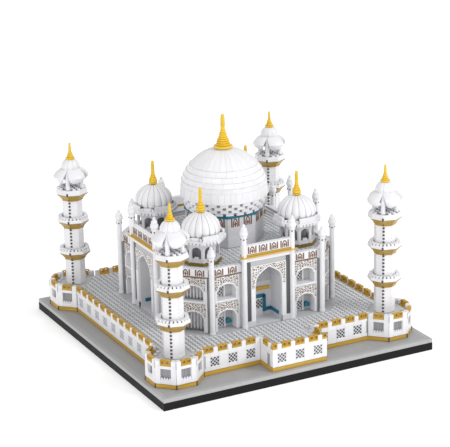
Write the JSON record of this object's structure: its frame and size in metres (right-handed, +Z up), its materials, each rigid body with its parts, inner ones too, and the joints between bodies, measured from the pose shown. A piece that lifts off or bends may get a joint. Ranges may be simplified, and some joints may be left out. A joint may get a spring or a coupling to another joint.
{
  "type": "miniature landmark model",
  "caption": "Tabletop micro-brick model of a white domed mausoleum on a walled terrace with corner minarets, on a dark base plate; its gold finials turn.",
  "frame": {"origin": "centre of the base plate's underside", "axes": "+Z up; +X to the right and -Y towards the viewer, with the porch on the -Y side; metres"},
  "size_m": [0.238, 0.2456, 0.1829],
  "materials": {
    "black_plastic": "satin black ABS",
    "grey_tile": "smooth mid-grey ABS tile",
    "pearl_gold": "pearlescent dark gold ABS",
    "light_grey": "light grey studded ABS",
    "hall_grey": "very light grey ABS",
    "white": "glossy white ABS",
    "yellow_gold": "glossy bright yellow-gold ABS",
    "teal": "dark turquoise ABS",
    "brown_print": "brown pad-printed ornament",
    "dark_grey": "dark grey recessed strips, hinge pins and lattice print"
  },
  "bodies": {
    "model": {"balcony_lower_back_left": "white", "balcony_lower_back_right": "white", "balcony_lower_front_left": "white", "balcony_lower_front_right": "white", "balcony_middle_back_left": "white", "balcony_middle_back_right": "white", "balcony_middle_front_left": "white", "balcony_middle_front_right": "white", "balcony_upper_back_left": "white", "balcony_upper_back_right": "white", "balcony_upper_front_left": "white", "balcony_upper_front_right": "white", "base_plate": "black_plastic", "base_tiles": "grey_tile", "bastion_back_left": "white", "bastion_back_right": "white", "bastion_front_left": "white", "bastion_front_right": "white", "dome_drum": "hall_grey", "drum_band": "teal", "hall_core": "hall_grey", "hall_roof": "light_grey", "kiosk_back_left": "white", "kiosk_back_right": "white", "kiosk_front_left": "white", "kiosk_front_right": "white", "main_dome": "white", "pavilion_back_left": "white", "pavilion_back_right": "white", "pavilion_front_left": "white", "pavilion_front_right": "white", "plinth_course": "pearl_gold", "porch_wall": "white", "portal_back": "hall_grey", "portal_front": "hall_grey", "portal_left": "hall_grey", "portal_right": "hall_grey", "shaft_back_left": "white", "shaft_back_right": "white", "shaft_front_left": "white", "shaft_front_right": "white", "terrace_deck": "light_grey", "wall_back": "white", "wall_front_left": "white", "wall_front_right": "white", "wall_left": "white", "wall_right": "white", "wing_back_left": "hall_grey", "wing_back_right": "hall_grey", "wing_front_left": "hall_grey", "wing_front_right": "hall_grey"},
    "finial_front_left": {"finial_front_left": "yellow_gold"},
    "pavilion_front_left_finial": {"pavilion_front_left_finial": "yellow_gold"},
    "finial_front_right": {"finial_front_right": "yellow_gold"},
    "pavilion_front_right_finial": {"pavilion_front_right_finial": "yellow_gold"},
    "finial_back_right": {"finial_back_right": "yellow_gold"},
    "pavilion_back_right_finial": {"pavilion_back_right_finial": "yellow_gold"},
    "finial_back_left": {"finial_back_left": "yellow_gold"},
    "pavilion_back_left_finial": {"pavilion_back_left_finial": "yellow_gold"},
    "main_finial": {"main_finial": "yellow_gold"}
  },
  "joints": [
    {"name": "finial_front_left_turn", "type": "hinge", "parent": "model", "child": "finial_front_left", "pos_m": [-0.094, -0.0904, 0.1365], "axis": [0, 0, 1], "continuous": true},
    {"name": "pavilion_front_left_finial_turn", "type": "hinge", "parent": "model", "child": "pavilion_front_left_finial", "pos_m": [-0.043, -0.0394, 0.1201], "axis": [0, 0, 1], "continuous": true},
    {"name": "finial_front_right_turn", "type": "hinge", "parent": "model", "child": "finial_front_right", "pos_m": [0.094, -0.0904, 0.1365], "axis": [0, 0, 1], "continuous": true},
    {"name": "pavilion_front_right_finial_turn", "type": "hinge", "parent": "model", "child": "pavilion_front_right_finial", "pos_m": [0.043, -0.0394, 0.1201], "axis": [0, 0, 1], "continuous": true},
    {"name": "finial_back_right_turn", "type": "hinge", "parent": "model", "child": "finial_back_right", "pos_m": [0.094, 0.0976, 0.1365], "axis": [0, 0, 1], "continuous": true},
    {"name": "pavilion_back_right_finial_turn", "type": "hinge", "parent": "model", "child": "pavilion_back_right_finial", "pos_m": [0.043, 0.0466, 0.1201], "axis": [0, 0, 1], "continuous": true},
    {"name": "finial_back_left_turn", "type": "hinge", "parent": "model", "child": "finial_back_left", "pos_m": [-0.094, 0.0976, 0.1365], "axis": [0, 0, 1], "continuous": true},
    {"name": "pavilion_back_left_finial_turn", "type": "hinge", "parent": "model", "child": "pavilion_back_left_finial", "pos_m": [-0.043, 0.0466, 0.1201], "axis": [0, 0, 1], "continuous": true},
    {"name": "main_finial_turn", "type": "hinge", "parent": "model", "child": "main_finial", "pos_m": [0, 0.0036, 0.1555], "axis": [0, 0, 1], "continuous": true}
  ]
}
